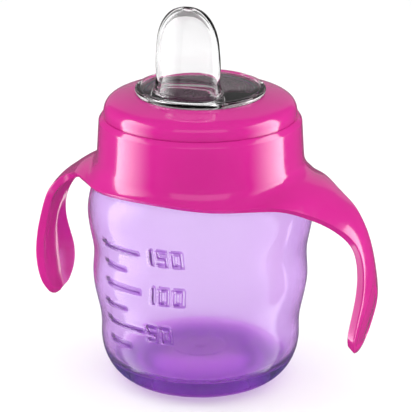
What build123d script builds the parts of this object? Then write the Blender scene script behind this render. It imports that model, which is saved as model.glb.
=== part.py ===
from build123d import *
from math import cos, radians, sin
import os

# Spill-free training cup for a toddler, about 200 ml, in millimetres.
# Origin: centre of the ring the cup stands on. +Z is up, -Y is the side the child
# drinks from (the spout is nearest to it), and the two handles are at +X and -X.

os.makedirs("parts", exist_ok=True)

# ---- driving dimensions -------------------------------------------------------------
# bottle
foot_r = 21.0            # ring the cup stands on
foot_rise = 15.5         # height of the rounded base corner
wall = 1.7
low_waist = (33.2, 20.0)
low_bulge = (35.85, 37.0)
high_waist = (35.5, 45.0)
high_bulge = (37.4, 58.8)
shoulder_r = 29.6
shoulder_z = 72.0
neck_r = 26.6
neck_wall = 1.8
rim_z = 88.0
floor_edge = (28.3, 7.6)  # where the inside floor meets the wall
floor_crown_z = 10.2     # the floor rises to its middle
punt_r = 18.6            # hollow under the base, inside the ring
punt_crown = 2.0         # the hollow's top is this far below the floor
mark_radii = (2.4, 8.4, 9.2)  # moulding mark on the floor: a disc and a ring round it
mark_t = 0.3

# screw thread between bottle and lid, right-handed, single start
thread_lead = 4.0
thread_turns = 1.25
thread_start_z = 78.4
thread_depth = 1.5
thread_root = 2.0        # width where the ridge meets the wall
thread_crest = 0.9
thread_slack = 0.4       # gap between the loaded flanks
lid_bore_r = 28.5
turn_gap = 0.3           # between faces that turn past each other

# lid
lid_r = 31.8
lid_bottom_z = 74.6
lid_corner_z = 92.4      # where the upright wall starts to round over
lid_lip_z = 98.7
lid_lip_r = 20.9
lid_lip_t = 2.2
lid_rib = (24.9, 26.4)   # ring that presses the spout flange on the rim

# handle ring
collar_top_z = 91.4
collar_chamfer = (33.45, 89.4)  # lower edge of the sloping top
collar_low = (34.3, 76.8)
cove_mid = (35.6, 73.4)
skirt_edge = (38.4, 70.2)
skirt_t = 2.0
ledge_r = 28.5
ledge_outer_r = 33.4
ledge_z = (72.3, 74.3)
cavity_r = 37.9          # space under the skirt
# Sections of the right-hand grip: centre of the section's chord on its outer face,
# direction of travel, half width, crown, twist in degrees that carries the front edge
# outwards, and thickness.
grip_stations = [
    ((24.0, 0.0, 71.8), (1.0, 0, 0.0), 28.3, 5.0, 0, 2.2),
    ((31.0, 0.0, 71.4), (1.0, 0, -0.12), 24.0, 4.6, 0, 2.5),
    ((36.5, 0.6, 70.3), (1.0, 0, -0.30), 19.3, 3.8, 0, 2.6),
    ((41.8, 1.8, 68.2), (1.0, 0, -0.45), 14.8, 2.8, 2, 2.6),
    ((47.2, 2.9, 65.5), (1.0, 0, -0.55), 11.0, 1.9, 4, 2.6),
    ((52.8, 3.4, 62.0), (0.85, 0, -0.75), 7.8, 1.2, 6, 2.6),
    ((57.6, 3.4, 56.6), (0.46, 0, -1.0), 5.7, 0.9, 8, 2.6),
    ((60.3, 3.3, 48.8), (0.20, 0, -1.0), 5.6, 0.9, 9, 2.8),
    ((61.0, 3.4, 40.5), (-0.03, 0, -1.0), 7.4, 1.2, 10, 3.0),
    ((60.3, 3.5, 32.5), (-0.14, 0, -1.0), 9.4, 1.7, 9, 3.0),
    ((59.0, 2.8, 25.2), (-0.20, 0, -1.0), 9.1, 1.6, 7, 3.0),
    ((57.7, 1.8, 20.2), (-0.24, 0, -1.0), 6.8, 1.1, 5, 2.8),
    ((57.1, 1.1, 17.7), (-0.24, 0, -1.0), 3.6, 0.5, 5, 2.2),
]
grip_edge = 0.5          # the inner face is this much narrower on each side

# spout and valve
flange_r = 27.9
flange_z = (88.1, 89.9)
plug_r = 22.8
bore_r = 19.2
groove_z = (96.2, 98.95)
bead_r = 21.45
disc_r = 18.9
disc_z = 100.4
disc_crown_z = 101.5
tube_y = -8.4
tube_wall = 1.3
# Height, half width along X and half depth along Y of the drinking tube.
tube_sections = [
    (99.6, 11.8, 8.6),
    (103.0, 11.5, 8.2),
    (109.0, 11.3, 7.5),
    (115.0, 11.1, 6.8),
    (119.0, 10.7, 6.2),
    (122.8, 9.5, 5.5),
    (125.8, 7.6, 4.6),
    (127.8, 5.2, 3.4),
    (128.8, 3.2, 2.2),
]
tube_inlet_z = 96.8      # below the underside of the disc, so the bore opens downwards
disc_under_z = 98.5
outlet = (1.5, 0.6)      # half sizes of the slot at the tip
valve_top_z = 96.4
valve_foot_z = 86.6
valve_r = 19.1
valve_t = 1.2
valve_side_t = 1.3
slit_w = 0.5
drinking_slit = (9.0, 5.0)
air_slit = 5.0

# volume scale, raised on the drinking side
relief = 0.55
digit_h = 5.6
digit_w = 3.5
digit_gap = 1.3
stroke = 0.9
scale_rows = {"50": 25.4, "100": 39.4, "150": 53.0}
half_step = 7.0          # from a long tick down to the short one
tick_long = 14.0
tick_short = 8.0
tick_left = -17.0
digit_left = 3.4         # from the end of a long tick to the middle of the first figure


def wall_line(inset):
    """Points of the waisted wall above the rounded base, drawn `inset` inside."""
    return [
        (low_waist[0] - inset, low_waist[1]),
        (34.45 - inset, 27.8),
        (low_bulge[0] - inset, low_bulge[1]),
        (high_waist[0] - inset, high_waist[1]),
        (36.6 - inset, 52.0),
        (high_bulge[0] - inset, high_bulge[1]),
        (36.3 - inset, 65.4),
        (shoulder_r + 3.9 - inset, shoulder_z - 1.9 - 0.5 * inset),
        (shoulder_r - 0.4 * inset, shoulder_z - inset),
    ]


def bottle_outside(swell):
    """Half section of the filled-in bottle, drawn `swell` outside its wall."""
    with BuildSketch(Plane.XZ) as half:
        with BuildLine():
            foot = Line((0, 0), (foot_r, 0))
            corner = EllipticalCenterArc(
                (foot_r, foot_rise),
                low_waist[0] + 0.05 + swell - foot_r,
                foot_rise,
                start_angle=270,
                arc_size=90,
            )
            waves = Spline(corner @ 1, *wall_line(-swell), tangents=[(0, 1), (-1, 0)])
            Polyline(waves @ 1, (neck_r, shoulder_z), (neck_r, rim_z), (0, rim_z), foot @ 0)
        make_face()
    return half.sketch


def bottle_inside():
    """Half section of the space that holds the drink, open at the mouth."""
    inner_low_r = low_waist[0] + 0.05 - wall
    with BuildSketch(Plane.XZ) as half:
        with BuildLine():
            floor = ThreePointArc(
                (0, floor_crown_z), (15.0, floor_crown_z - 0.9), (floor_edge[0] - 2.0, floor_edge[1])
            )
            corner = Spline(
                floor @ 1,
                (floor_edge[0] + 0.6, floor_edge[1] + 0.9),
                (inner_low_r, foot_rise + 1.5),
                tangents=[(1, 0), (0, 1)],
            )
            waves = Spline(corner @ 1, *wall_line(wall), tangents=[(0, 1), (-1, 0)])
            Polyline(
                waves @ 1,
                (neck_r - neck_wall, shoulder_z - wall),
                (neck_r - neck_wall, rim_z + 1),
                (0, rim_z + 1),
                floor @ 0,
            )
        make_face()
    return half.sketch


def thread_ridge(root_r, crest_r, start_z, turns):
    """Helical ridge from root_r to crest_r, as a separate solid."""
    with BuildPart() as ridge:
        with BuildLine() as path:
            Helix(thread_lead, thread_lead * turns, root_r, center=(0, 0, start_z))
        with BuildSketch(Plane.XZ):
            with BuildLine():
                Polyline(
                    (root_r, start_z - thread_root / 2),
                    (crest_r, start_z - thread_crest / 2),
                    (crest_r, start_z + thread_crest / 2),
                    (root_r, start_z + thread_root / 2),
                    close=True,
                )
            make_face()
        sweep(path=path.line, is_frenet=True)
    return ridge.part


def digit_strokes(symbol, x, z):
    """Centres and sizes of the bars that draw one figure of the scale."""
    mid_h = digit_h / 2
    side = digit_w / 2 - stroke / 2
    bars = {
        "top": ((x, z + mid_h - stroke / 2), (digit_w, stroke)),
        "middle": ((x, z), (digit_w, stroke)),
        "foot": ((x, z - mid_h + stroke / 2), (digit_w, stroke)),
        "upper_left": ((x - side, z + digit_h / 4), (stroke, mid_h)),
        "lower_left": ((x - side, z - digit_h / 4), (stroke, mid_h)),
        "upper_right": ((x + side, z + digit_h / 4), (stroke, mid_h)),
        "lower_right": ((x + side, z - digit_h / 4), (stroke, mid_h)),
    }
    shapes = {
        "0": ("top", "foot", "upper_left", "lower_left", "upper_right", "lower_right"),
        "1": ("upper_right", "lower_right"),
        "5": ("top", "middle", "foot", "upper_left", "lower_right"),
    }
    return [bars[name] for name in shapes[symbol]]


def scale_marks():
    """The ticks and figures of the volume scale, proud of the bottle's wall."""
    with BuildPart() as marks:
        with BuildSketch(Plane.XZ.offset(neck_r)):
            for figures, level in scale_rows.items():
                with Locations((tick_left + tick_long / 2, level)):
                    Rectangle(tick_long, stroke)
                with Locations((tick_left + tick_short / 2, level - half_step)):
                    Rectangle(tick_short, stroke)
                for place, symbol in enumerate(figures):
                    digit_x = tick_left + tick_long + digit_left + place * (digit_w + digit_gap)
                    for centre, size in digit_strokes(symbol, digit_x, level):
                        with Locations(centre):
                            Rectangle(*size)
        extrude(amount=2 * neck_r)
        revolve(bottle_outside(relief), axis=Axis.Z, mode=Mode.INTERSECT)
    return marks.part


def base_hollow():
    """Half section of the hollow under the base, inside the ring it stands on."""
    with BuildSketch(Plane.XZ) as half:
        with BuildLine():
            punt = Spline(
                (punt_r, -1),
                (punt_r - 0.4, 2.0),
                (punt_r - 4.5, 6.9),
                (0, floor_crown_z - punt_crown),
                tangents=[(0, 1), (-1, 0)],
            )
            Polyline(punt @ 1, (0, -1), punt @ 0)
        make_face()
    return half.sketch


# ---- bottle -------------------------------------------------------------------------
raised_scale = scale_marks()
neck_thread = thread_ridge(neck_r - 0.3, neck_r + thread_depth, thread_start_z, thread_turns)

with BuildPart() as cup_body:
    revolve(bottle_outside(0), axis=Axis.Z)
    add(raised_scale)
    revolve(bottle_inside(), axis=Axis.Z, mode=Mode.SUBTRACT)
    revolve(base_hollow(), axis=Axis.Z, mode=Mode.SUBTRACT)
    # moulding mark on the inside of the floor
    with BuildSketch(Plane.XY.offset(floor_crown_z - 1.2)):
        Circle(mark_radii[2])
        Circle(mark_radii[1], mode=Mode.SUBTRACT)
        Circle(mark_radii[0])
    extrude(amount=1.2 + mark_t)
    add(neck_thread)
cup_body.part.label = "cup_body"
export_step(cup_body.part, "parts/cup_body.step")

# ---- lid that screws on the bottle --------------------------------------------------
lid_thread = thread_ridge(
    lid_bore_r + 0.3,
    lid_bore_r - thread_depth,
    thread_start_z - (thread_root + thread_crest) / 2 - thread_slack,
    thread_turns - 0.25,
)

with BuildPart() as screw_ring:
    with BuildSketch(Plane.XZ):
        with BuildLine():
            skirt = Polyline((lid_bore_r, lid_bottom_z), (lid_r, lid_bottom_z), (lid_r, lid_corner_z))
            dome = Spline(
                skirt @ 1,
                (30.6, 95.7),
                (26.4, 97.6),
                (lid_lip_r + 0.5, lid_lip_z),
                tangents=[(0, 1), (-1, 0.18)],
            )
            lip = Polyline(
                dome @ 1,
                (lid_lip_r, lid_lip_z - 0.5),
                (lid_lip_r, lid_lip_z - lid_lip_t),
            )
            under = Spline(lip @ 1, (lid_rib[0], 95.4), tangents=[(1, 0), (1, -0.35)])
            Polyline(
                under @ 1,
                (lid_rib[0], flange_z[1] + 0.1),
                (lid_rib[1], flange_z[1] + 0.1),
                (lid_rib[1], 93.6),
                (lid_bore_r - 0.6, 92.4),
                (lid_bore_r, 91.0),
                skirt @ 0,
            )
        make_face()
    revolve(axis=Axis.Z)
    add(lid_thread)
screw_ring.part.label = "screw_ring"
export_step(screw_ring.part, "parts/screw_ring.step")

# ---- handle ring --------------------------------------------------------------------
def grip_plane(centre, travel, twist):
    """Plane across the grip: x along its width, y out of its outer face."""
    heading = Vector(*travel).normalized()
    across = Vector(0, 1, 0)
    inwards = across.cross(heading)
    width_dir = across * cos(radians(twist)) + inwards * sin(radians(twist))
    return Plane(origin=centre, x_dir=width_dir, z_dir=heading)


def grip_section(plane, half_width, crown, thickness):
    """Crescent with blunt ends, drawn on a plane across the grip."""
    with BuildSketch(plane) as section:
        with BuildLine():
            outer = ThreePointArc((-half_width, 0), (0, crown), (half_width, 0))
            back_end = Line(outer @ 1, (half_width - grip_edge, -thickness))
            inner = ThreePointArc(
                back_end @ 1, (0, crown - thickness), (grip_edge - half_width, -thickness)
            )
            Line(inner @ 1, outer @ 0)
        make_face()
    return section.sketch


def ring_cavity():
    """Half section of the space that the ring must leave for bottle, thread and lid."""
    with BuildSketch(Plane.XZ) as half:
        with BuildLine():
            Polyline(
                (0, 5),
                (cavity_r, 5),
                (cavity_r, 65.0),
                (skirt_edge[0] - skirt_t, skirt_edge[1] - 0.8),
                (ledge_outer_r - 0.2, ledge_z[0]),
                (ledge_r, ledge_z[0]),
                (ledge_r, ledge_z[1]),
                (lid_r + turn_gap, ledge_z[1]),
                (lid_r + turn_gap, 110),
                (0, 110),
                close=True,
            )
        make_face()
    return half.sketch


def collar_and_skirt():
    """Half section of the upright collar and the cove that flares out to the skirt's edge."""
    with BuildSketch(Plane.XZ) as half:
        with BuildLine():
            top = Polyline(
                (lid_r + turn_gap, ledge_z[0]),
                (lid_r + turn_gap, collar_top_z),
                (lid_r + turn_gap + 0.2, collar_top_z),
                collar_chamfer,
                collar_low,
            )
            cove = Spline(top @ 1, cove_mid, skirt_edge, tangents=[(0.08, -1), (0.75, -1)])
            Polyline(cove @ 1, (skirt_edge[0] - skirt_t, skirt_edge[1] - 0.3), top @ 0)
        make_face()
    return half.sketch


grip_sections = [
    grip_section(grip_plane(centre, travel, twist), half_width, crown, thickness)
    for centre, travel, half_width, crown, twist, thickness in grip_stations
]

with BuildPart() as handle_ring:
    loft(grip_sections)
    mirror(about=Plane.YZ)
    revolve(collar_and_skirt(), axis=Axis.Z)
    with BuildSketch(Plane.XY.offset(ledge_z[0])):
        Circle(ledge_outer_r)
    extrude(amount=ledge_z[1] - ledge_z[0])
    revolve(ring_cavity(), axis=Axis.Z, mode=Mode.SUBTRACT)
handle_ring.part.label = "handle_ring"
export_step(handle_ring.part, "parts/handle_ring.step")

# ---- spout --------------------------------------------------------------------------
def tube_loft(inset, start_z):
    """The drinking tube from start_z up as a solid, drawn `inset` inside its outer face."""
    base_z, top_z = tube_sections[0][0], tube_sections[-1][0]
    with BuildPart() as tube:
        for height, half_x, half_y in tube_sections:
            lowered = height - inset * (height - base_z) / (top_z - base_z)
            with BuildSketch(Plane.XY.offset(start_z if height == base_z else lowered)):
                with Locations((0, tube_y)):
                    Ellipse(half_x - inset, half_y - inset)
        loft()
    return tube.part


def disc_and_plug():
    """Half section of the filled-in disc, plug and flange under the tube."""
    with BuildSketch(Plane.XZ) as half:
        with BuildLine():
            outside = Polyline(
                (0, disc_under_z),
                (bore_r, disc_under_z),
                (bore_r, flange_z[0]),
                (flange_r, flange_z[0]),
                (flange_r, flange_z[1]),
                (plug_r, flange_z[1]),
                (plug_r, groove_z[0] - 0.8),
                (plug_r - 0.8, groove_z[0]),
                (lid_lip_r - turn_gap, groove_z[0]),
                (lid_lip_r - turn_gap, groove_z[1]),
                (bead_r - 0.3, groove_z[1]),
                (bead_r, groove_z[1] + 0.4),
                (bead_r, disc_z - 0.5),
                (bead_r - 0.6, disc_z),
                (disc_r, disc_z - 0.15),
            )
            crown = ThreePointArc(outside @ 1, (disc_r / 2, disc_crown_z - 0.3), (0, disc_crown_z))
            Line(crown @ 1, outside @ 0)
        make_face()
    return half.sketch


tube_outside = tube_loft(0, tube_sections[0][0])
tube_inside = tube_loft(tube_wall, tube_inlet_z)

with BuildPart() as spout:
    revolve(disc_and_plug(), axis=Axis.Z)
    add(tube_outside)
    add(tube_inside, mode=Mode.SUBTRACT)
    # the outlet at the tip
    with BuildSketch(Plane.XY.offset(tube_sections[-2][0] - 3.0)):
        with Locations((0, tube_y)):
            Ellipse(*outlet)
    extrude(amount=8, mode=Mode.SUBTRACT)
spout.part.label = "spout"
export_step(spout.part, "parts/spout.step")

# ---- valve under the spout ----------------------------------------------------------
with BuildPart() as valve:
    with BuildSketch(Plane.XZ):
        with BuildLine():
            Polyline(
                (0, valve_top_z - valve_t),
                (valve_r - valve_side_t - 0.9, valve_top_z - valve_t),
                (valve_r - valve_side_t, valve_top_z - valve_t - 1.0),
                (valve_r - valve_side_t, valve_foot_z),
                (valve_r + 3.0, valve_foot_z),
                (valve_r + 3.0, flange_z[0]),
                (valve_r, flange_z[0]),
                (valve_r, valve_top_z - 0.6),
                (valve_r - 0.8, valve_top_z),
                (0, valve_top_z),
                close=True,
            )
        make_face()
    revolve(axis=Axis.Z)
    # drinking slits under the tube, and an air slit opposite
    with BuildSketch(Plane.XY.offset(valve_top_z - 2 * valve_t)):
        with Locations((0, tube_y)):
            Rectangle(drinking_slit[0], slit_w)
            Rectangle(slit_w, drinking_slit[1])
        with Locations((0, -tube_y)):
            Rectangle(air_slit, slit_w)
    extrude(amount=3 * valve_t, mode=Mode.SUBTRACT)
valve.part.label = "valve"
export_step(valve.part, "parts/valve.step")
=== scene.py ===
import bpy
import math
import numpy as np
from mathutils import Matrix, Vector


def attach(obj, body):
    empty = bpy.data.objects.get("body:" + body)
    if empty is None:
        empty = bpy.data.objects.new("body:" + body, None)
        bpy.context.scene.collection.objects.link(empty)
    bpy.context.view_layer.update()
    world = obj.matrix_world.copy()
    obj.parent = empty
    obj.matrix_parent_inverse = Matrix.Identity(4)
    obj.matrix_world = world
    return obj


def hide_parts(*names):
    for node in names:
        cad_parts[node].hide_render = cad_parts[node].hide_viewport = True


# Training cup: a tinted clear bottle, a glossy lid and handle ring, and a clear soft spout.
# Shapes are worked out in millimetres and turned into metres when a mesh is made.

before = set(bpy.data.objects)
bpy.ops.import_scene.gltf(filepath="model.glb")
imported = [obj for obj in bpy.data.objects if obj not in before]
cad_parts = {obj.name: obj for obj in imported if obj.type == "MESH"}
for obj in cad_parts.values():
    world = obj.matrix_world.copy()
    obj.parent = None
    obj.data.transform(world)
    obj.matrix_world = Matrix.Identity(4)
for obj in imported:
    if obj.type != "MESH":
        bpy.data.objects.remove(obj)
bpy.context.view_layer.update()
MM = 0.001

# ---- bottle --------------------------------------------------------------------------
# Radii and heights in millimetres, with Z up from the ground.
foot_r = 21.0
foot_rise = 15.5
wall = 1.7
waist_r = 33.25
wall_points = [
    (33.2, 20.0), (34.45, 27.8), (35.85, 37.0), (35.5, 45.0), (36.6, 52.0),
    (37.4, 58.8), (36.3, 65.4), (33.5, 70.1), (29.6, 72.0),
]
neck_r = 26.6
neck_bore_r = 24.8
rim_z = 88.0
punt_r = 18.6            # hollow under the base
floor_edge = (26.3, 7.6)
floor_mark_r = 9.6       # moulding mark in the middle of the inside floor
inner_low = (31.55, 17.0)

# screw thread between bottle and lid
thread_lead = 4.0
thread_start_z = 78.4
thread_depth = 1.5
thread_turns = 1.25
lid_thread_turns = 1.0
thread_slack = 1.85      # the lid's ridge lies this far below the neck's

# raised volume scale on the drinking side
relief = 0.55
soft_edge = 0.17         # half the width of a bar's sloping side
digit_h = 5.6
digit_w = 3.5
stroke = 0.9
scale_rows = {"50": 25.4, "100": 39.4, "150": 53.0}
tick_left = -17.0
tick_long = 14.0
tick_short = 8.0
half_step = 7.0          # from a long tick down to the short one
digit_left = 3.4         # from the end of a long tick to the middle of the first figure
digit_gap = 1.3
scale_sides = (-20.0, 15.0)  # the wall between these has columns made for the scale
scale_top_z = 62.0       # and the wall below this has rows made for it
plain_columns = 58       # evenly spaced columns round the rest of the bottle

# ---- lid and handle ring -------------------------------------------------------------
lid_r = 31.8
lid_bore_r = 28.5
lid_bottom_z = 74.6
lid_corner_z = 92.4
lid_columns = 144
ledge_columns = 96
ring_bore_r = 32.1
ledge_z = (72.3, 74.3)
collar = [
    (32.15, 91.35), (32.3, 91.3), (32.5, 91.1), (33.38, 89.78), (33.5, 89.55), (33.52, 89.3), (33.58, 88.6),
    (33.75, 86.0), (34.0, 81.5), (34.3, 76.8),
]
cove = [(34.3, 76.8), (34.75, 74.9), (35.6, 73.4), (36.9, 71.6), (38.4, 70.2)]
cove_shares = [0.0, 0.22, 0.42, 0.62, 0.82, 0.95, 1.0]  # rows down the cove, as shares of its length
skirt_t = 2.0

# ---- spout ---------------------------------------------------------------------------
tube_y = -8.4
tube_wall = 1.3
tube_sections = [
    (99.6, 11.8, 8.6), (103.0, 11.5, 8.2), (109.0, 11.3, 7.5), (115.0, 11.1, 6.8),
    (119.0, 10.7, 6.2), (122.8, 9.5, 5.5), (125.8, 7.6, 4.6), (127.8, 5.2, 3.4), (128.6, 3.2, 2.2),
]
disc_r = 18.9
disc_edge_z = 100.25
disc_crown_z = 101.5
disc_under_z = 98.5
plug_bore_r = 19.2
spout_columns = 112


# ---- curves --------------------------------------------------------------------------
def unit(vector):
    vector = np.array(vector, float)
    return vector / np.linalg.norm(vector)


def spline_at(knots, points, places, start=None, end=None):
    """The cubic spline with these knots and points, read at places. start and end are end slopes."""
    p = np.array(points, float)
    t = np.array(knots, float)
    gap = np.diff(t)
    count = len(p)
    system = np.zeros((count, count))
    target = np.zeros_like(p)
    for i in range(1, count - 1):
        system[i, i - 1 : i + 2] = 1 / gap[i - 1], 2 / gap[i - 1] + 2 / gap[i], 1 / gap[i]
        target[i] = 3 * ((p[i] - p[i - 1]) / gap[i - 1] ** 2 + (p[i + 1] - p[i]) / gap[i] ** 2)
    for row, beside, slope, first in ((0, 1, start, 0), (count - 1, count - 2, end, count - 2)):
        if slope is None:
            system[row, row], system[row, beside] = 2, 1
            target[row] = 3 * (p[first + 1] - p[first]) / gap[first]
        else:
            system[row, row] = 1
            target[row] = slope
    slopes = np.linalg.solve(system, target)
    out = []
    for place in places:
        i = int(np.clip(np.searchsorted(t, place) - 1, 0, count - 2))
        u = (place - t[i]) / gap[i]
        out.append(
            (1 + 2 * u) * (1 - u) ** 2 * p[i]
            + u * (1 - u) ** 2 * gap[i] * slopes[i]
            + u * u * (3 - 2 * u) * p[i + 1]
            + u * u * (u - 1) * gap[i] * slopes[i + 1]
        )
    return np.array(out)


def chord_knots(points):
    steps = np.linalg.norm(np.diff(np.array(points, float), axis=0), axis=1)
    return np.concatenate([[0.0], np.cumsum(steps)])


def smooth(points, count, start=None, end=None):
    """count points along a smooth curve through points, with given end directions."""
    knots = chord_knots(points)
    ends = [None if way is None else unit(way) for way in (start, end)]
    places = np.linspace(0, knots[-1], count)
    return [tuple(p) for p in spline_at(knots, points, places, *ends)]


def rounded(corners, segments=5):
    """A line through corners (r, z, cut), each corner rounded from `cut` before it to `cut` after it."""
    out = []
    for i, (r, z, cut) in enumerate(corners):
        here = np.array((r, z))
        if cut == 0 or i in (0, len(corners) - 1):
            out.append((r, z))
            continue
        before = here + cut * unit(np.array(corners[i - 1][:2]) - here)
        after = here + cut * unit(np.array(corners[i + 1][:2]) - here)
        for u in np.linspace(0, 1, segments + 1):
            out.append(tuple((1 - u) ** 2 * before + 2 * u * (1 - u) * here + u * u * after))
    return out


def evened(line, longest=1.2):
    """The same line with long straight stretches divided, so that shading stays even."""
    out = [line[0]]
    for a, b in zip(line, line[1:]):
        length = math.dist(a, b)
        if length < 1e-6:
            continue
        parts = max(1, math.ceil(length / longest))
        for k in range(1, parts + 1):
            out.append(tuple(np.array(a) + (np.array(b) - np.array(a)) * k / parts))
    return out


# ---- meshes --------------------------------------------------------------------------
def add_piece(name, verts, faces):
    """A smooth-shaded object from points in millimetres."""
    mesh = bpy.data.meshes.new(name)
    mesh.from_pydata([tuple(float(c) * MM for c in v) for v in verts], [], faces)
    mesh.validate()
    mesh.shade_smooth()
    piece = bpy.data.objects.new(name, mesh)
    bpy.context.scene.collection.objects.link(piece)
    return piece


def join(*shapes):
    """Several (verts, faces) shapes as one."""
    verts, faces = [], []
    for shape_verts, shape_faces in shapes:
        base = len(verts)
        verts += list(shape_verts)
        faces += [tuple(i + base for i in face) for face in shape_faces]
    return verts, faces


def sheet_faces(rows, wrap_rows, wrap_columns):
    """Quads between rows of point numbers; a row with one number is a pole."""
    faces = []
    pairs = list(zip(rows, rows[1:]))
    if wrap_rows:
        pairs.append((rows[-1], rows[0]))
    for low, high in pairs:
        count = max(len(low), len(high))
        for i in range(count if wrap_columns else count - 1):
            j = (i + 1) % count
            if len(low) == 1:
                faces.append((low[0], high[j], high[i]))
            elif len(high) == 1:
                faces.append((low[i], low[j], high[0]))
            else:
                faces.append((low[i], low[j], high[j], high[i]))
    return faces


def turned(profile, columns, closed=False, swell=None):
    """A profile [(r, z), ...] turned about Z. columns(r) gives the angles of a ring of that radius,
    and swell(x, y, z) is how far a point moves outwards."""
    verts, rows = [], []
    before = None
    for r, z in profile:
        if before and math.dist(before, (r, z)) < 1e-4:
            continue
        before = (r, z)
        row = []
        for angle in [0.0] if r < 1e-6 else columns(r):
            grown = r + swell(r * math.cos(angle), r * math.sin(angle), z) if swell else r
            row.append(len(verts))
            verts.append((grown * math.cos(angle), grown * math.sin(angle), z))
        rows.append(row)
    return verts, sheet_faces(rows, closed, True)


def even_angles(count):
    return [2 * math.pi * i / count for i in range(count)]


def thread_ridge(root_r, crest_r, start_z, turns, root_w=2.0, crest_w=0.9):
    """Helical ridge whose ends taper into the wall."""
    steps = int(72 * turns)
    verts, rows = [], []
    for i in range(steps + 1):
        angle = 2 * math.pi * turns * i / steps
        taper = min(1.0, 0.05 + 8 * min(i, steps - i) / steps)
        z = start_z + thread_lead * turns * i / steps
        reach = root_r + (crest_r - root_r) * taper
        row = []
        section = ((root_r, root_w), (reach, crest_w), (reach, -crest_w), (root_r, -root_w))
        for r, width in section:
            row.append(len(verts))
            verts.append((r * math.cos(angle), r * math.sin(angle), z + width / 2 * taper))
        rows.append(row)
    faces = sheet_faces(rows, False, True)
    faces += [tuple(reversed(rows[0])), tuple(rows[-1])]
    return verts, faces


# ---- bottle's mesh -------------------------------------------------------------------
def digit_bars(symbol, x, z):
    """Centre and size of each bar of one seven-bar figure."""
    mid_h = digit_h / 2
    side = (digit_w - stroke) / 2
    bars = {
        "top": (x, z + mid_h - stroke / 2, digit_w, stroke),
        "middle": (x, z, digit_w, stroke),
        "foot": (x, z - mid_h + stroke / 2, digit_w, stroke),
        "upper_left": (x - side, z + digit_h / 4, stroke, mid_h),
        "lower_left": (x - side, z - digit_h / 4, stroke, mid_h),
        "upper_right": (x + side, z + digit_h / 4, stroke, mid_h),
        "lower_right": (x + side, z - digit_h / 4, stroke, mid_h),
    }
    shapes = {
        "0": ("top", "foot", "upper_left", "lower_left", "upper_right", "lower_right"),
        "1": ("upper_right", "lower_right"),
        "5": ("top", "middle", "foot", "upper_left", "lower_right"),
    }
    return [bars[name] for name in shapes[symbol]]


def scale_bars():
    """Left, right, lower and upper side of each bar of the scale."""
    bars = []
    for figures, level in scale_rows.items():
        bars.append((tick_left + tick_long / 2, level, tick_long, stroke))
        bars.append((tick_left + tick_short / 2, level - half_step, tick_short, stroke))
        for place, symbol in enumerate(figures):
            digit_x = tick_left + tick_long + digit_left + place * (digit_w + digit_gap)
            bars += digit_bars(symbol, digit_x, level)
    centre_x, centre_z, width, height = np.array(bars).T
    left, right = centre_x - width / 2, centre_x + width / 2
    return left, right, centre_z - height / 2, centre_z + height / 2


def scale_relief(x, y, z):
    """How far the volume scale stands out of the bottle's wall."""
    if y > 0:
        return 0.0
    left, right, low, high = bar_sides
    inside = np.minimum(np.minimum(x - left, right - x), np.minimum(z - low, high - z)).max()
    return relief * float(np.clip(0.5 + inside / (2 * soft_edge), 0, 1))


def lines_for(edges, first, last, gap):
    """Places from first to last, close on each side of every edge and elsewhere about gap apart."""
    kept = sorted({round(float(e) + side * soft_edge, 3) for e in edges for side in (-1, 1)})
    places = [first]
    for place in kept + [last]:
        steps = max(1, round((place - places[-1]) / gap))
        start = places[-1]
        places += [start + (place - start) * k / steps for k in range(1, steps + 1)]
    return places


def inset_wall(inset):
    """The wall's points moved inwards, and its top ones down too."""
    lower = [(r - inset, z) for r, z in wall_points[:-2]]
    (shoulder_r, shoulder_z), (top_r, top_z) = wall_points[-2:]
    return lower + [(shoulder_r - inset, shoulder_z - 0.5 * inset), (top_r - 0.4 * inset, top_z - inset)]


def bottle_profile():
    """From the middle of the hollow base, round the outside and over the rim, to the inside floor."""
    punt = smooth(
        [(0, 8.2), (14.1, 6.9), (18.2, 2.0), (punt_r, 0.5)], 22, start=(1, 0), end=(0.1, -1)
    )
    foot = rounded([(punt_r, 0.5, 0), (18.75, 0.0, 0.3), (20.0, 0.0, 0)])
    turn = np.linspace(0, math.pi / 2, 26)
    corner = [
        (foot_r + (waist_r - foot_r) * math.sin(a), foot_rise * (1 - math.cos(a))) for a in turn
    ]
    outside = smooth([corner[-1]] + wall_points, 400, start=(0, 1), end=(-1, 0))
    upright = [p for p in outside if p[1] < scale_top_z]
    levels = lines_for(np.concatenate(bar_sides[2:]), upright[0][1], upright[-1][1], 1.0)
    marked = [(float(np.interp(z, *np.array(upright).T[::-1])), z) for z in levels]
    outside = marked + outside[len(upright) :: 6] + outside[-1:]
    neck = rounded([
        outside[-1] + (0,), (neck_r, 72.0, 0.7), (neck_r, rim_z, 0.5), (neck_bore_r, rim_z, 0.5),
        (neck_bore_r, 70.3, 0.7), (28.9, 70.3, 0),
    ])
    inside = smooth([inner_low] + inset_wall(wall), 60, start=(0, 1), end=(-1, 0))[::-1]
    inner_corner = smooth([floor_edge, (28.9, 8.5), inner_low], 16, start=(1, 0), end=(0, 1))[::-1]
    floor = smooth([floor_edge, (15.0, 9.3), (floor_mark_r, 9.75)], 10)
    mark = rounded([
        (floor_mark_r, 9.75, 0), (9.2, 9.8, 0.1), (9.2, 10.1, 0.1), (8.4, 10.15, 0.1), (8.4, 9.85, 0.1),
        (6.0, 10.0, 0), (2.4, 10.15, 0.1), (2.4, 10.5, 0.15), (0, 10.5, 0),
    ], 3)
    return (
        evened(punt + foot + corner) + outside + evened(neck) + inside[1:] + inner_corner[1:]
        + evened(floor[1:] + mark[1:])
    )


def bottle_columns(r):
    """Angles of a ring of the bottle: upright lines beside the scale's bars, then even ones."""
    reach = max(r, 30.0)
    front = [math.asin(x / reach) - math.pi / 2 for x in scale_columns]
    rest = np.linspace(front[-1], front[0] + 2 * math.pi, plain_columns)[1:-1]
    return front + list(rest)


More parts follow.
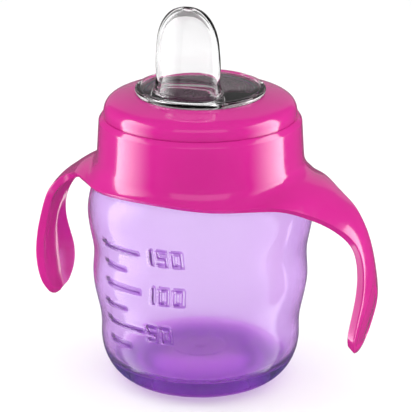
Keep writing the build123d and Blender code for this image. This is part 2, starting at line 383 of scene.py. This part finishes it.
bar_sides = scale_bars()
scale_columns = lines_for(np.concatenate(bar_sides[:2]), *scale_sides, 2.2)


def make_bottle():
    """The bottle, with each point's height on the raised scale kept for its material."""
    heights = []

    def noted_relief(x, y, z):
        heights.append(scale_relief(x, y, z))
        return heights[-1]

    verts, faces = join(
        turned(bottle_profile(), bottle_columns, swell=noted_relief),
        thread_ridge(neck_r - 0.3, neck_r + thread_depth, thread_start_z, thread_turns),
    )
    bottle = add_piece("cup_body_clear", verts, faces)
    # 0 on the wall and 1 on the flat tops of the scale
    raised = bottle.data.attributes.new("raised", "FLOAT", "POINT")
    shares = np.zeros(len(bottle.data.vertices), dtype=np.float32)
    shares[: len(heights)] = np.array(heights) / relief
    raised.data.foreach_set("value", shares)
    bottle.visible_shadow = False
    return bottle


# ---- lid -----------------------------------------------------------------------------
def make_lid():
    """Dome and skirt, with a rolled lip, a rib over the spout's flange, and an inner thread."""
    skirt = rounded([(30.2, lid_bottom_z, 0), (lid_r, lid_bottom_z, 0.4), (lid_r, lid_corner_z, 0)])
    dome = smooth(
        [(lid_r, lid_corner_z), (30.6, 95.7), (26.4, 97.6), (21.6, 98.68)], 40, (0, 1), (-1, 0.18)
    )
    lip = rounded([dome[-1] + (0,), (20.9, 98.8, 0.45), (20.9, 96.5, 0.4), (21.6, 96.5, 0)])
    under = smooth([(21.6, 96.5), (24.9, 95.4)], 8, (1, 0), (1, -0.35))
    inside = rounded([
        (24.9, 95.4, 0), (24.9, 90.0, 0.25), (26.4, 90.0, 0.25), (26.4, 93.6, 0.3), (27.9, 92.4, 0.3),
        (lid_bore_r, 91.0, 0.3), (lid_bore_r, lid_bottom_z, 0.4), (30.2, lid_bottom_z, 0),
    ])
    profile = evened(skirt) + dome[1:] + evened(lip[1:]) + under[1:] + evened(inside[1:])[:-1]
    ridge_z = thread_start_z - thread_slack
    verts, faces = join(
        turned(profile, lambda r: even_angles(lid_columns), closed=True),
        thread_ridge(lid_bore_r + 0.3, lid_bore_r - thread_depth, ridge_z, lid_thread_turns),
    )
    return add_piece("screw_lid", verts, faces)


# ---- handle ring ---------------------------------------------------------------------
# The right grip from the ring to its tip: front edge, crest and back edge of its outer face,
# and its thickness. The left grip is its mirror image.
grip_rows = [
    ((30.0, -24.0, 70.2), (38.3, 0.7, 73.4), (30.0, 24.0, 70.2), 2.0),
    ((36.3, -18.9, 70.3), (41.2, 1.4, 71.8), (36.3, 20.0, 70.3), 2.3),
    ((41.9, -13.1, 68.0), (44.7, 2.2, 69.7), (41.7, 16.6, 68.4), 2.6),
    ((47.2, -8.2, 65.1), (48.3, 2.9, 67.1), (47.2, 14.0, 65.9), 2.6),
    ((53.1, -4.4, 61.1), (53.8, 3.4, 62.9), (52.5, 11.2, 62.9), 2.6),
    ((58.1, -2.3, 56.1), (58.4, 3.4, 56.9), (57.1, 9.1, 57.1), 2.6),
    ((60.9, -2.2, 48.7), (61.1, 3.3, 48.9), (59.7, 8.8, 48.9), 2.8),
    ((61.9, -4.0, 40.5), (62.1, 3.4, 40.5), (60.1, 10.8, 40.5), 3.0),
    ((61.3, -5.9, 32.4), (61.9, 3.5, 32.3), (59.3, 12.9, 32.6), 3.0),
    ((60.1, -6.0, 26.0), (60.5, 2.9, 25.9), (58.3, 11.8, 26.3), 2.9),
    ((59.1, -4.8, 22.0), (59.5, 2.3, 21.8), (57.9, 9.4, 22.2), 2.8),
    ((58.3, -3.1, 19.4), (58.6, 1.9, 19.2), (57.6, 6.9, 19.5), 2.6),
    ((57.8, -1.4, 18.0), (58.0, 1.6, 17.9), (57.4, 4.6, 18.1), 2.4),
    ((57.5, 0.5, 17.45), (57.6, 1.4, 17.4), (57.4, 2.3, 17.45), 2.3),
]
edge_hold = 0.5          # distance of the rows that keep an edge crisp
skirt_arch = 1.4         # the skirt's edge rises by this much between the grips
grip_columns = 11
arc_columns = 17
grip_steps = 34
grip_inner_x = 50        # the recesses lie outside this, below grip_top_z
grip_top_z = 56
scoop_depth = 0.8        # hollow in the inner face of each grip, for the fingers
leaf_depth = 0.45        # leaf-shaped recess in the outer face


def grip_grid():
    """Rows of the right grip's outer face, each a list of points from front edge to back edge."""
    front, crest, back, thick = (np.array([row[i] for row in grip_rows], float) for i in range(4))
    knots = chord_knots(crest)
    stacked = np.hstack([front, crest, back, thick[:, None]])
    places = knots[-1] * (1 - (1 - np.linspace(0, 1, grip_steps)) ** 1.3)
    grid, thickness = [], []
    for value in spline_at(knots, stacked, places):
        low, mid, high = value[0:3], value[3:6], value[6:9]
        half = np.linalg.norm(high - low) / 2
        held = 1 - min(edge_hold / half, 0.4)
        across = [-1] + list(held * np.linspace(-1, 1, grip_columns - 2)) + [1]
        grid.append([mid + s * (high - low) / 2 + s * s * ((high + low) / 2 - mid) for s in across])
        thickness.append(value[9])
    return grid, thickness


def polar(r, angle, z):
    return (r * math.cos(angle), r * math.sin(angle), z)


def ring_cage():
    """Points and faces of the ring's outer face with both grips, and each point's thickness.
    A point without a thickness is on the collar, whose inner wall is the straight bore."""
    grid, thickness = grip_grid()
    last = grip_columns - 1
    left_start = last + arc_columns - 1  # the left grip's first column
    columns = 2 * left_start
    step = 2 * math.pi / columns
    verts, thick = [], []

    def put(point, depth):
        verts.append(np.array(point, float))
        thick.append(depth)
        return len(verts) - 1

    def mirrored(point):
        return (-point[0], point[1], point[2])

    # where each column meets the lower edge of the ring
    edge = {}
    right = [grid[0][i] for i in range(grip_columns)]
    left = [mirrored(p) for p in reversed(right)]
    first_angle = math.atan2(right[-1][1], right[-1][0])
    for i in range(grip_columns):
        edge[i] = right[i]
        edge[left_start + i] = left[i]
    for i in range(1, arc_columns - 1):
        angle = first_angle + (math.pi - 2 * first_angle) * i / (arc_columns - 1)
        r, z = cove[-1]
        rise = skirt_arch * math.sin(math.pi * i / (arc_columns - 1)) ** 2
        r, z = r - rise, z + rise
        edge[last + i] = polar(r, angle, z)
        edge[(left_start + last + i) % columns] = polar(r, angle + math.pi, z)
    rows = []
    for r, z in collar[:-1]:
        rows.append([put(polar(r, (k - last / 2) * step, z), None) for k in range(columns)])
    (top_r, top_z), (edge_low_r, edge_low_z) = cove[0], cove[-1]
    cove_knots = chord_knots(cove)
    cove_curve = spline_at(cove_knots, cove, [share * cove_knots[-1] for share in cove_shares])
    for share, (r, z) in zip(cove_shares, cove_curve):
        row = []
        for k in range(columns):
            ex, ey, ez = edge[k]
            edge_r = math.hypot(ex, ey)
            even = (k - last / 2) * step
            angle = math.atan2(ey, ex)
            angle = even + share * ((angle - even + math.pi) % (2 * math.pi) - math.pi)
            scale_r = (edge_r - top_r) / (edge_low_r - top_r)
            scale_z = (ez - top_z) / (edge_low_z - top_z)
            here = polar(top_r + (r - top_r) * scale_r, angle, top_z + (z - top_z) * scale_z)
            row.append(put(here, skirt_t))
        rows.append(row)
    faces = sheet_faces(rows[::-1], False, True)
    for start in (0, left_start):
        above = [rows[-1][(start + i) % columns] for i in range(grip_columns)]
        for line, depth in zip(grid[1:], thickness[1:]):
            points = line if start == 0 else [mirrored(p) for p in reversed(line)]
            below = [put(p, depth) for p in points]
            faces += sheet_faces([below, above], False, False)
            above = below
    return verts, faces, thick


def vertex_normals(verts, faces):
    """Mean of the directions of the four-sided faces round each point."""
    normals = np.zeros((len(verts), 3))
    for face in faces:
        p = [verts[i] for i in face]
        normal = np.cross(p[2] - p[0], p[3] - p[1])
        for i in face:
            normals[i] += unit(normal)
    return [unit(n) for n in normals]


def border_loops(faces):
    """The sheet's border edges, each in the direction of its face."""
    seen = {(face[i], face[(i + 1) % len(face)]) for face in faces for i in range(len(face))}
    return [(a, b) for a, b in seen if (b, a) not in seen]


def shell(verts, faces, thick):
    """Closes the outer face into a wall: an inner face, and a rim held crisp at both of its edges."""
    normals = vertex_normals(verts, faces)
    inner = []
    for point, normal, depth in zip(verts, normals, thick):
        if depth is None:
            angle = math.atan2(point[1], point[0])
            inner.append(np.array(polar(ring_bore_r, angle, point[2])))
        else:
            inner.append(point - normal * depth)
    count = len(verts)
    border = sorted(border_loops(faces))
    on_border = sorted({i for edge in border for i in edge})
    points = list(verts) + inner
    outer_hold, inner_hold = {}, {}
    for i in on_border:
        across = unit(inner[i] - verts[i])
        outer_hold[i] = len(points)
        points.append(verts[i] + across * edge_hold)
        inner_hold[i] = len(points)
        points.append(inner[i] - across * edge_hold)
    out = list(faces) + [tuple(i + count for i in reversed(face)) for face in faces]
    for a, b in border:
        out.append((b, a, outer_hold[a], outer_hold[b]))
        out.append((outer_hold[b], outer_hold[a], inner_hold[a], inner_hold[b]))
        out.append((inner_hold[b], inner_hold[a], a + count, b + count))
    return points, out


def soft_step(value, low, high):
    """0 at low and 1 at high, smoothly between. low may be the greater of the two."""
    u = np.clip((value - low) / (high - low), 0.0, 1.0)
    return u * u * (3 - 2 * u)


def grip_recess(y, z, facing):
    """How far points of a grip's lower half sink in. facing is +1 on the outer face, -1 on the inner."""
    front, crest, back = (np.array([row[i] for row in grip_rows[:4:-1]]) for i in range(3))
    near = np.interp(z, crest[:, 2], front[:, 1])
    far = np.interp(z, crest[:, 2], back[:, 1])
    across = (y - near) / np.maximum(0.5, far - near)
    # the inner face has a spoon-shaped hollow, the outer one a leaf with its point at the top
    spoon = soft_step(np.minimum(across, 1 - across), 0.06, 0.40)
    spoon = spoon * soft_step(z, 18.5, 25.0) * soft_step(z, 52.0, 40.0)
    half_leaf = 0.40 * np.sqrt(np.clip(1 - (np.maximum(z - 24.0, 0) / 17.0) ** 2, 0.0, 1.0))
    leaf = soft_step(half_leaf - abs(across - 0.52), 0.0, 0.06) * soft_step(z, 19.5, 21.5)
    return np.where(facing < 0, scoop_depth * spoon, leaf_depth * leaf)


def apply_modifiers(piece):
    """Swaps the piece's mesh for the one its modifiers make."""
    shown = bpy.context.evaluated_depsgraph_get()
    finished = bpy.data.meshes.new_from_object(piece.evaluated_get(shown))
    piece.modifiers.clear()
    piece.data = finished
    piece.data.shade_smooth()


def make_handle_ring():
    """Collar, skirt and both grips as one rounded shell, with the grips' recesses pressed in."""
    verts, faces = shell(*ring_cage())
    ring = add_piece("handle_ring_gloss", verts, faces)
    subdivide = ring.modifiers.new("round", "SUBSURF")
    subdivide.levels = 2
    subdivide.render_levels = 2
    apply_modifiers(ring)
    count = len(ring.data.vertices)
    places, normals = np.empty(3 * count), np.empty(3 * count)
    ring.data.vertices.foreach_get("co", places)
    ring.data.vertex_normals.foreach_get("vector", normals)
    places, normals = places.reshape(-1, 3) / MM, normals.reshape(-1, 3)
    side = np.sign(places[:, 0])
    facing = normals[:, 0] * side
    on_grip = (abs(places[:, 0]) > grip_inner_x) & (places[:, 2] < grip_top_z) & (abs(facing) > 0.6)
    sunk = np.where(on_grip, grip_recess(places[:, 1], places[:, 2], facing), 0.0)
    places[:, 0] -= np.sign(facing) * side * sunk
    ring.data.vertices.foreach_set("co", (places * MM).ravel())
    ring.data.update()
    ring.data.shade_smooth()
    return ring


def make_ledge():
    """Inner ledge of the ring that the lid presses on the bottle's shoulder."""
    low, top = ledge_z
    profile = rounded([
        (30.0, low, 0), (33.6, low, 0), (33.6, top, 0), (28.5, top, 0.4), (28.5, low, 0.4), (30.0, low, 0),
    ])
    verts, faces = turned(evened(profile)[:-1], lambda r: even_angles(ledge_columns), closed=True)
    return add_piece("handle_ring_ledge", verts, faces)


# ---- spout's mesh --------------------------------------------------------------------
def ellipse(z, half_x, half_y):
    """Points of an ellipse round the tube's middle."""
    angles = even_angles(spout_columns)
    return [(half_x * math.cos(a), tube_y + half_y * math.sin(a), z) for a in angles]


def circle(r, z):
    return [polar(r, angle, z) for angle in even_angles(spout_columns)]


def dome_z(x, y):
    """Height of the disc's domed top."""
    return disc_crown_z + (disc_edge_z - disc_crown_z) * (x * x + y * y) / disc_r ** 2


def tube_rows(inset, count, base_z):
    """Rows of the drinking tube from its tip down, drawn `inset` inside its outer face."""
    low, top = tube_sections[0][0], tube_sections[-1][0]
    sections = [
        (z - inset * (z - low) / (top - low), half_x - inset, half_y - inset)
        for z, half_x, half_y in tube_sections
    ]
    sections[0] = (base_z,) + sections[0][1:]
    knots = chord_knots(sections)
    share = np.sin(np.linspace(0, math.pi / 2, count))
    return [ellipse(*value) for value in spline_at(knots, sections, share * knots[-1])][::-1]


def between(row, other, share):
    """The row that lies this share of the way from one row to the other."""
    return [tuple(np.array(a) + (np.array(b) - np.array(a)) * share) for a, b in zip(row, other)]


def make_spout():
    """One closed skin: up the outlet slot, down the tube and round the plug, and up the bore."""
    outer = tube_rows(0.0, 34, 102.3)
    inner = tube_rows(tube_wall, 30, tube_sections[0][0])
    slot = (
        (127.4, 1.5, 0.6), (128.2, 1.5, 0.6), (128.4, 1.5, 0.6), (128.7, 1.6, 0.68),
        (128.78, 1.9, 0.95), (128.75, 2.6, 1.7),
    )
    rows = [ellipse(*section) for section in slot] + outer
    # the foot of the tube flares into the disc
    _, foot_x, foot_y = tube_sections[0]
    for grown, lift in ((0.0, 1.3), (0.06, 0.8), (0.25, 0.35), (0.6, 0.1), (1.0, 0.0)):
        ring = ellipse(0, foot_x + grown, foot_y + grown)
        rows.append([(x, y, dome_z(x, y) + lift) for x, y, _ in ring])
    rim = circle(disc_r, disc_edge_z)
    foot = rows[-1]
    for share in (0.12, 0.3, 0.5, 0.7, 0.88):
        rows.append([(x, y, dome_z(x, y)) for x, y, _ in between(foot, rim, share)])
    # bead, groove for the lid's lip, plug, flange and bore
    profile = rounded([
        (disc_r, disc_edge_z, 0), (19.3, 100.1, 0.15), (19.7, 100.75, 0.25), (20.8, 100.75, 0.5),
        (21.45, 100.2, 0.4), (21.45, 99.2, 0.3), (21.2, 98.95, 0.1), (20.6, 98.95, 0.25),
        (20.6, 96.2, 0.25), (22.0, 96.2, 0.3), (22.8, 95.4, 0.3), (22.8, 89.9, 0.3), (27.9, 89.9, 0.4),
        (27.9, 88.1, 0.4), (plug_bore_r, 88.1, 0.4), (plug_bore_r, disc_under_z, 0.4),
        (18.2, disc_under_z, 0),
    ])
    rows += [circle(r, z) for r, z in evened(profile)]
    bore = ellipse(disc_under_z, foot_x - tube_wall, foot_y - tube_wall)
    under = rows[-1]
    for share in (0.3, 0.6, 0.85, 1.0):
        rows.append(between(under, bore, share))
    rows += inner[::-1]
    verts = [point for row in rows for point in row]
    numbers = [list(range(i * spout_columns, (i + 1) * spout_columns)) for i in range(len(rows))]
    faces = sheet_faces(numbers[::-1], True, True)
    return add_piece("soft_spout", verts, faces)


# ---- materials -----------------------------------------------------------------------
class Shader:
    """A Principled material and short ways to feed it."""

    def __init__(self, name):
        self.material = bpy.data.materials.new(name)
        self.material.use_nodes = True
        self.nodes = self.material.node_tree.nodes
        self.links = self.material.node_tree.links
        self.surface = self.nodes["Principled BSDF"]
        self.place = self.nodes.new("ShaderNodeTexCoord").outputs["Object"]

    def set(self, **values):
        for name, value in values.items():
            self.surface.inputs[name.replace("_", " ")].default_value = value

    def noise(self, scale, detail=2.0, stretch=None):
        """Noise fixed to the piece, with scale features or so per metre."""
        node = self.nodes.new("ShaderNodeTexNoise")
        node.inputs["Scale"].default_value = scale
        node.inputs["Detail"].default_value = detail
        place = self.place
        if stretch:
            mapping = self.nodes.new("ShaderNodeMapping")
            mapping.inputs["Scale"].default_value = stretch
            self.links.new(place, mapping.inputs["Vector"])
            place = mapping.outputs["Vector"]
        self.links.new(place, node.inputs["Vector"])
        return node.outputs["Fac"]

    def ramp(self, value, stops):
        """Colours [(position, (r, g, b)), ...] read at a value from 0 to 1."""
        node = self.nodes.new("ShaderNodeValToRGB")
        elements = node.color_ramp.elements
        while len(elements) < len(stops):
            elements.new(0.5)
        for element, (position, colour) in zip(elements, stops):
            element.position = position
            element.color = (*colour, 1.0)
        self.links.new(value, node.inputs["Fac"])
        return node.outputs["Color"]

    def mottle(self, noise, first, second, low=0.3, high=0.7):
        """Drifts from the first colour to the second as the noise goes from low to high."""
        return self.ramp(noise, [(low, first), (high, second)])

    def blend(self, share, first, second):
        """The first colour where share is 0, the second where it is 1."""
        node = self.nodes.new("ShaderNodeMix")
        node.data_type = "RGBA"
        self.links.new(share, node.inputs["Factor"])
        self.links.new(first, node.inputs["A"])
        self.links.new(second, node.inputs["B"])
        return node.outputs["Result"]

    def spread(self, value, low, high):
        """0 where value is low or under, 1 where it is high or over, smoothly between."""
        node = self.nodes.new("ShaderNodeMapRange")
        node.interpolation_type = "SMOOTHSTEP"
        node.inputs["From Min"].default_value = low
        node.inputs["From Max"].default_value = high
        self.links.new(value, node.inputs["Value"])
        return node.outputs["Result"]

    def radius(self, low, high):
        """spread() over the distance from the cup's axis, in metres."""
        flat = self.nodes.new("ShaderNodeVectorMath")
        flat.operation = "MULTIPLY"
        flat.inputs[1].default_value = (1.0, 1.0, 0.0)
        length = self.nodes.new("ShaderNodeVectorMath")
        length.operation = "LENGTH"
        self.links.new(self.place, flat.inputs[0])
        self.links.new(flat.outputs["Vector"], length.inputs[0])
        return self.spread(length.outputs["Value"], low, high)

    def feed(self, socket, value):
        """Links an output to one of the surface's sockets."""
        self.links.new(value, self.surface.inputs[socket])

    def bump(self, height, strength, distance):
        node = self.nodes.new("ShaderNodeBump")
        node.inputs["Strength"].default_value = strength
        node.inputs["Distance"].default_value = distance
        self.links.new(height, node.inputs["Height"])
        self.feed("Normal", node.outputs["Normal"])


def grey(value):
    return (value, value, value)


def pink_plastic():
    shader = Shader("pink_plastic_gloss")
    shader.set(IOR=1.5, Coat_Weight=0.6, Coat_Roughness=0.03)
    tone = shader.noise(35, 3)
    shader.feed("Base Color", shader.mottle(tone, (0.565, 0.012, 0.237), (0.615, 0.015, 0.266)))
    shader.feed("Roughness", shader.mottle(shader.noise(600, 4), grey(0.12), grey(0.22), low=0.35))
    shader.bump(shader.noise(1800, 2), 0.04, 0.0001)
    return shader.material


def bottle_plastic():
    """Tinted translucent plastic. Its floor is deeper in colour, partly from its thicker plastic and partly
    as painted shade for the shadow under the bottle, and the scale's slopes carry painted shade that
    outlines the figures.
    """
    shader = Shader("bottle_plastic_tint")
    shader.set(IOR=1.3, Transmission_Weight=0.95)
    in_floor = shader.radius(0.0290, 0.0280)
    height = shader.nodes.new("ShaderNodeAttribute")
    height.attribute_name = "raised"
    slopes = shader.ramp(height.outputs["Fac"], [
        (0.0, grey(0)), (0.15, grey(1)), (0.85, grey(1)), (1.0, grey(0)),
    ])

    drift = shader.noise(28, 2, stretch=(1, 1, 0.4))
    wall_tint = shader.mottle(drift, (0.88, 0.91, 0.955), (0.91, 0.94, 0.975))
    # Painted shade: the floor's deeper purple stands for its thicker plastic and also for the shadow under
    # the bottle, which casts no real shadow here.
    thick_floor_and_painted_shade = shader.mottle(shader.noise(40, 2), (0.81, 0.37, 0.91), (0.85, 0.41, 0.94))
    # Painted shade: the slopes of the scale's bars are darkened to outline the figures, in place of the
    # shade that light bent by the raised bars gives.
    slope_painted_shade = shader.mottle(drift, (0.42, 0.19, 0.62), (0.46, 0.22, 0.66))
    tint = shader.blend(slopes, shader.blend(in_floor, wall_tint, thick_floor_and_painted_shade), slope_painted_shade)
    shader.feed("Base Color", tint)

    fine = shader.noise(500, 3)
    polished = shader.mottle(fine, grey(0.10), grey(0.16), high=0.75)
    frosted = shader.mottle(fine, grey(0.36), grey(0.44), high=0.75)
    matt_slope = shader.mottle(fine, grey(0.50), grey(0.60), high=0.75)
    wall_finish = shader.blend(slopes, polished, matt_slope)
    shader.feed("Roughness", shader.blend(in_floor, wall_finish, frosted))
    shader.bump(shader.noise(220, 2, stretch=(1, 1, 0.3)), 0.03, 0.0002)

    absorb = shader.nodes.new("ShaderNodeVolumeAbsorption")
    absorb.inputs["Color"].default_value = (0.86, 0.53, 0.93, 1.0)
    absorb.inputs["Density"].default_value = 380.0
    shader.links.new(absorb.outputs["Volume"], shader.nodes["Material Output"].inputs["Volume"])
    return shader.material


def clear_silicone():
    shader = Shader("clear_silicone_soft")
    shader.set(IOR=1.41, Transmission_Weight=1.0)
    tone = shader.noise(60, 2)
    shader.feed("Base Color", shader.mottle(tone, (0.955, 0.95, 0.955), (0.985, 0.98, 0.985)))
    shader.feed("Roughness", shader.mottle(shader.noise(900, 3), grey(0.01), grey(0.05)))
    shader.bump(shader.noise(700, 2), 0.03, 0.0001)
    return shader.material


# Painted shade: the valve's dark plum colour stands for the shaded inside of the lid that is seen through
# the clear disc.
def valve_painted_shade():
    shader = Shader("valve_painted_shade_soft")
    shader.set(IOR=1.41)
    tone = shader.noise(90, 3)
    shader.feed("Base Color", shader.mottle(tone, (0.060, 0.014, 0.040), (0.085, 0.024, 0.058)))
    shader.feed("Roughness", shader.mottle(shader.noise(800, 3), grey(0.22), grey(0.35)))
    shader.bump(shader.noise(900, 2), 0.05, 0.0001)
    return shader.material


def paint(piece, material):
    piece.data.materials.clear()
    piece.data.materials.append(material)


# ---- studio --------------------------------------------------------------------------
# Angles in degrees, lens in millimetres, distances in metres.
view_azimuth = 28.5
view_elevation = 19.0
view_distance = 0.830
view_target = Vector((0, 0, 0.060))
lens = 218.45
shift = (0.0136, -0.0061)
floor_size = 3.0


def around(azimuth, elevation, distance):
    """A place seen from the origin at this azimuth from the camera's side of the cup."""
    turn = math.radians(view_azimuth + azimuth)
    rise = math.radians(elevation)
    flat = math.cos(rise) * distance
    return Vector((math.sin(turn) * flat, -math.cos(turn) * flat, math.sin(rise) * distance))


def make_camera():
    data = bpy.data.cameras.new("camera")
    data.lens = lens
    data.sensor_width = 36.0
    data.shift_x, data.shift_y = shift
    data.clip_start = 0.05
    camera = bpy.data.objects.new("camera", data)
    bpy.context.scene.collection.objects.link(camera)
    away = around(0, view_elevation, view_distance)
    camera.location = view_target + away
    camera.rotation_euler = (-away).to_track_quat("-Z", "Y").to_euler()
    bpy.context.scene.camera = camera


def make_floor():
    """Pale floor, which glossy surfaces don't mirror."""
    corners = [(floor_size * x, floor_size * y, 0) for x, y in ((-1, -1), (1, -1), (1, 1), (-1, 1))]
    mesh = bpy.data.meshes.new("floor")
    mesh.from_pydata(corners, [], [(0, 1, 2, 3)])
    floor = bpy.data.objects.new("floor", mesh)
    bpy.context.scene.collection.objects.link(floor)
    floor.visible_glossy = False
    shader = Shader("floor_white")
    shader.set(Roughness=0.9, Specular_IOR_Level=0.0)
    shader.feed("Base Color", shader.mottle(shader.noise(4, 2), grey(0.93), grey(0.95)))
    paint(floor, shader.material)


def make_softbox(name, near_azimuth, far_azimuth, distance, low, high, strength, least=0.0):
    """Upright light sheet, unseen by the camera. It glows with `strength` at its far side and
    fades to `least` at its near side."""
    near, far = around(near_azimuth, 0, distance), around(far_azimuth, 0, distance)
    corners = [(near.x, near.y, low), (far.x, far.y, low), (far.x, far.y, high), (near.x, near.y, high)]
    mesh = bpy.data.meshes.new(name)
    mesh.from_pydata(corners, [], [(0, 1, 2, 3)])
    layer = mesh.uv_layers.new(name="fade")
    for loop, uv in zip(layer.data, ((0, 0), (1, 0), (1, 1), (0, 1))):
        loop.uv = uv
    box = bpy.data.objects.new(name, mesh)
    bpy.context.scene.collection.objects.link(box)
    box.visible_camera = False
    material = bpy.data.materials.new(name)
    material.use_nodes = True
    nodes, links = material.node_tree.nodes, material.node_tree.links
    nodes.clear()
    uv = nodes.new("ShaderNodeTexCoord")
    split = nodes.new("ShaderNodeSeparateXYZ")
    fade = nodes.new("ShaderNodeMapRange")
    fade.interpolation_type = "SMOOTHSTEP"
    fade.inputs["To Min"].default_value = least
    fade.inputs["To Max"].default_value = strength
    glow = nodes.new("ShaderNodeEmission")
    output = nodes.new("ShaderNodeOutputMaterial")
    links.new(uv.outputs["UV"], split.inputs["Vector"])
    links.new(split.outputs["X"], fade.inputs["Value"])
    links.new(fade.outputs["Result"], glow.inputs["Strength"])
    links.new(glow.outputs["Emission"], output.inputs["Surface"])
    paint(box, material)


def make_world(level, mirrored_level):
    """Even white surroundings, dimmer where a glossy surface mirrors them. Light bent by clear
    plastic counts as glossy too, so it is taken out again."""
    world = bpy.data.worlds.new("studio")
    world.use_nodes = True
    nodes, links = world.node_tree.nodes, world.node_tree.links
    background = nodes["Background"]
    path = nodes.new("ShaderNodeLightPath")
    mirrored = nodes.new("ShaderNodeMath")
    mirrored.operation = "SUBTRACT"
    pick = nodes.new("ShaderNodeMapRange")
    pick.inputs["To Min"].default_value = level
    pick.inputs["To Max"].default_value = mirrored_level
    links.new(path.outputs["Is Glossy Ray"], mirrored.inputs[0])
    links.new(path.outputs["Is Transmission Ray"], mirrored.inputs[1])
    links.new(mirrored.outputs["Value"], pick.inputs["Value"])
    links.new(pick.outputs["Result"], background.inputs["Strength"])
    background.inputs["Color"].default_value = (1, 1, 1, 1)
    bpy.context.scene.world = world


def make_studio():
    make_camera()
    make_floor()
    make_world(level=1.2, mirrored_level=0.10)
    for name, side in (("light_left", -1), ("light_right", 1)):
        make_softbox(name, 50 * side, 102 * side, distance=0.55, low=-0.5, high=0.46, strength=6.0)
    make_softbox("light_back", 150, 210, distance=1.2, low=0.05, high=1.5, strength=0.3, least=0.3)
    make_softbox("light_front", -34, 34, distance=1.6, low=0.75, high=1.5, strength=0.9, least=0.9)
    bpy.context.scene.view_settings.view_transform = "Standard"


# ---- assembly ------------------------------------------------------------------------
def finish_piece(piece, material, body, slot_name, *nodes):
    """Paints a piece, fixes it to its body and hides the plain nodes that it stands for."""
    paint(piece, material)
    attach(piece, body)
    if nodes:
        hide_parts(*nodes)


make_studio()
pink = pink_plastic()
finish_piece(make_bottle(), bottle_plastic(), "cup", "bottle_plastic", "cup_body")
finish_piece(make_lid(), pink, "lid", "pink_plastic", "screw_ring")
finish_piece(make_handle_ring(), pink, "handles", "pink_plastic", "handle_ring")
finish_piece(make_ledge(), pink, "handles", "pink_plastic")
finish_piece(make_spout(), clear_silicone(), "spout", "clear_silicone", "spout")
# The valve's dark colour is painted shade for the shaded inside of the lid.
paint(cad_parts["valve"], valve_painted_shade())
